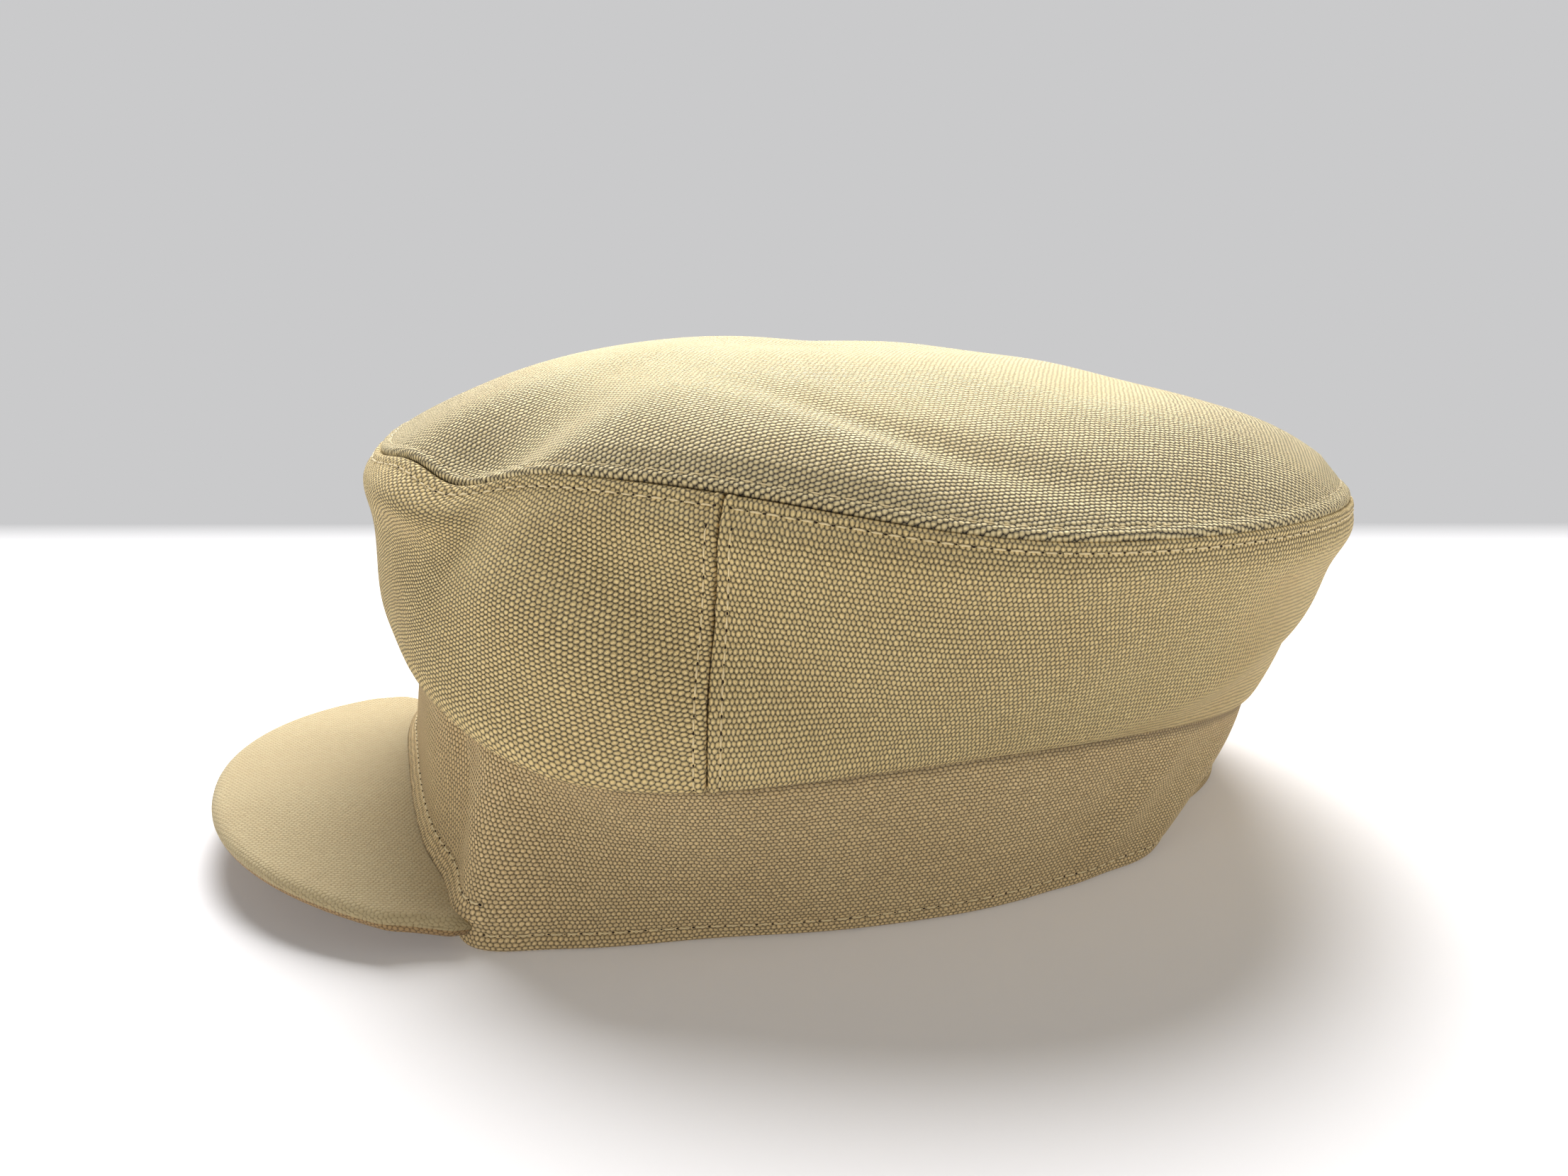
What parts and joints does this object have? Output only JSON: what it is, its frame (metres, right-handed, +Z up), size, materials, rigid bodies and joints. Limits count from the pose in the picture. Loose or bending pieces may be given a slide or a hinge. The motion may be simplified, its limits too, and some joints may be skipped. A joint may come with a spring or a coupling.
{
  "type": "peaked cap",
  "caption": "Soft peaked cap of stout cotton cloth with a domed oval top, a sewn crown, a plain band and a short rounded cloth-covered peak, standing on its hem.",
  "frame": {"origin": "on the surface that the cap stands on, under the middle of the cap's whole outline", "axes": "+Z up, the peak points along -Y, +X is the wearer's left"},
  "size_m": [0.2058, 0.2648, 0.106],
  "materials": {
    "crown_cloth": "undyed-looking khaki cotton duck, coarse plain weave, matt",
    "band_cloth": "khaki cotton duck, coarse plain weave, matt",
    "peak_cloth": "khaki cotton duck drawn over a stiff peak, matt"
  },
  "bodies": {
    "root": {"crown_top": "crown_cloth", "crown_front": "crown_cloth", "crown_back": "crown_cloth", "band": "band_cloth", "peak": "peak_cloth"}
  },
  "joints": []
}
